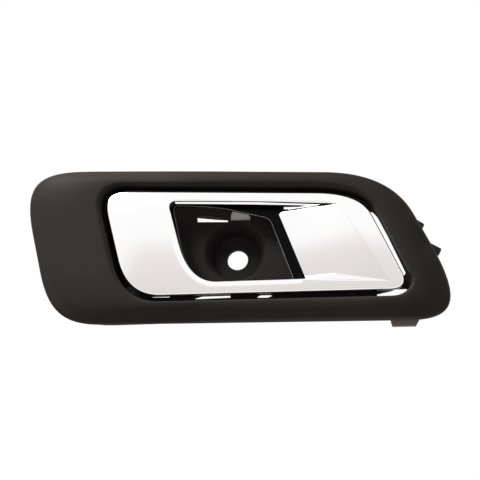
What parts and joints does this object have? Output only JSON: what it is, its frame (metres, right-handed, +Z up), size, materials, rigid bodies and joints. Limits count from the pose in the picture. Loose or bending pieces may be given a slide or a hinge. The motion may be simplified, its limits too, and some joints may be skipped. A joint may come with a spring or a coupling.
{
  "type": "car interior door handle",
  "caption": "Inner door release: a chromed lever loop hinged at its left end in a crowned dark bezel, over a black housing with a finger bowl and a screw cone.",
  "frame": {"origin": "centre of the fixing screw hole, on the back seat face of the housing's cone", "axes": "+X along the handle from its hinged end to its free end, +Y into the door, +Z up; the face looks toward -Y"},
  "size_m": [0.1954, 0.042, 0.0759],
  "materials": {
    "bezel": "fine grained",
    "housing": "satin",
    "lens": "frosted",
    "chrome": "polished",
    "carrier": "gloss",
    "steel": "zinc plated",
    "rubber": "matt"
  },
  "bodies": {
    "housing": {"housing": "housing", "bezel": "bezel", "light_lens": "lens", "pivot_pin": "steel", "pin_clip": "steel", "return_spring": "steel", "bezel_screw_1": "steel", "bezel_screw_2": "steel", "bezel_screw_3": "steel", "bezel_screw_4": "steel", "bezel_screw_5": "steel", "rest_bumper_upper": "rubber", "rest_bumper_lower": "rubber", "open_stop_bumper": "rubber"},
    "lever": {"lever_shell": "chrome", "lever_carrier": "carrier", "carrier_screw_1": "steel", "carrier_screw_2": "steel", "carrier_screw_3": "steel"}
  },
  "joints": [
    {"name": "lever_pivot", "type": "hinge", "parent": "housing", "child": "lever", "pos_m": [-0.04203, -0.031, 0], "axis": [0, 0, -1], "range_deg": [0, 30], "stiffness_Nm_per_rad": 1, "springref_deg": -20.05, "deforming": ["return_spring"]}
  ]
}
